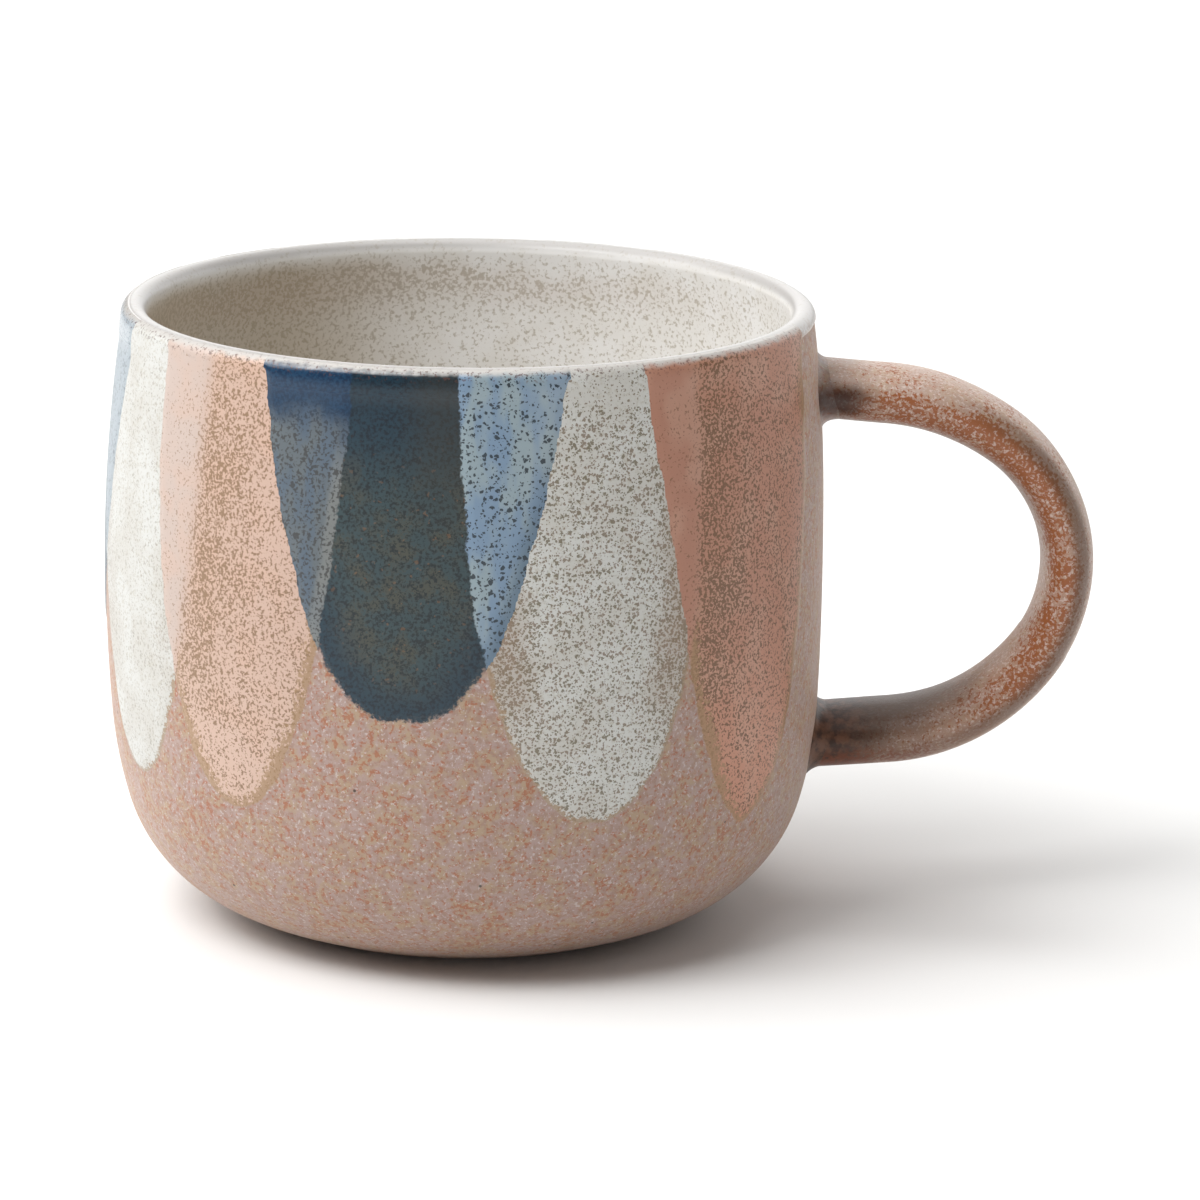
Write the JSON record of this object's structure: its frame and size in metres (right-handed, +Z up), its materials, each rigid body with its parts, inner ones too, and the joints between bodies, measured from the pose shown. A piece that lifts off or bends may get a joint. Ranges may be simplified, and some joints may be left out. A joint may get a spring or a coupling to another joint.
{
  "type": "ceramic mug",
  "caption": "Round-bellied stoneware drinking mug with a loop handle, a glazed inside and lip, and overlapping white, pink and blue glaze strokes hanging from the lip.",
  "frame": {"origin": "on the axis of the round body, in the plane of the foot ring it stands on", "axes": "+Z up along the axis of the body, +X towards the handle, -Y towards a viewer who sees the handle on the right"},
  "size_m": [0.126, 0.0924, 0.0788],
  "materials": {
    "stoneware": "matt unglazed, speckled with rust and pale grains",
    "slip": "matt, same clay as the body",
    "liner_glaze": "glossy off-white with fine brown specks",
    "white_glaze": "satin white with olive-brown specks",
    "pink_glaze": "satin pink with olive-brown specks",
    "blue_glaze": "satin translucent blue, darkest where it lies straight on the clay"
  },
  "bodies": {
    "root": {"clay_body": "stoneware", "handle": "stoneware", "upper_slip_joint": "slip", "lower_slip_joint": "slip", "liner_glaze": "liner_glaze", "white_stroke_1": "white_glaze", "white_stroke_2": "white_glaze", "white_stroke_3": "white_glaze", "white_stroke_4": "white_glaze", "pink_stroke_1": "pink_glaze", "pink_stroke_2": "pink_glaze", "pink_stroke_3": "pink_glaze", "pink_stroke_4": "pink_glaze", "blue_stroke_1": "blue_glaze", "blue_stroke_2": "blue_glaze", "blue_stroke_3": "blue_glaze"}
  },
  "joints": []
}
